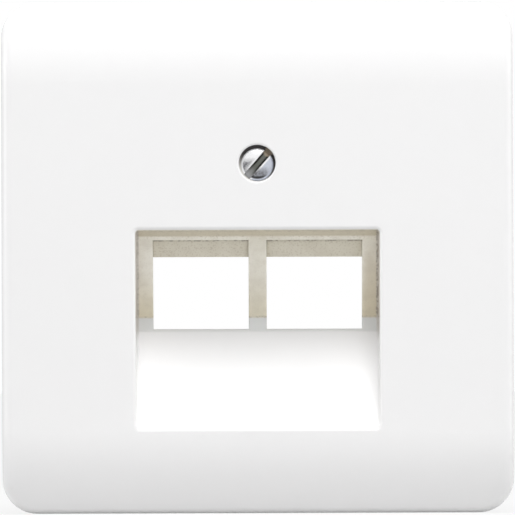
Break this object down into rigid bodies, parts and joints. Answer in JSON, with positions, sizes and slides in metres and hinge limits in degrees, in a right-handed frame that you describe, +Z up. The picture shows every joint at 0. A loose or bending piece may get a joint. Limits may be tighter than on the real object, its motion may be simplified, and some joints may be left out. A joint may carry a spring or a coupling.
{
  "type": "network outlet faceplate",
  "caption": "Square crowned centre plate for a network outlet: a sloped recess with port openings that angle the plugs down, under a captive slotted fixing screw.",
  "frame": {"origin": "centre of the plate in the plane of its rear rim, where the centre of the flush box and the socket insert lies", "axes": "+X right and +Z up as the mounted plate is seen, +Y into the wall; the front faces -Y"},
  "size_m": [0.071, 0.0173, 0.071],
  "materials": {
    "gloss_white_plastic": "glossy moulded white, slightly translucent and cream in its depth",
    "plated_steel": "bright plated steel with faint turning and driver marks"
  },
  "bodies": {
    "cover": {"faceplate": "gloss_white_plastic"},
    "screw": {"fixing_screw": "plated_steel"}
  },
  "joints": [
    {"name": "screw_turn", "type": "hinge", "parent": "cover", "child": "screw", "pos_m": [0, -0.0092, 0.0129], "axis": [0, 1, 0], "continuous": true}
  ]
}
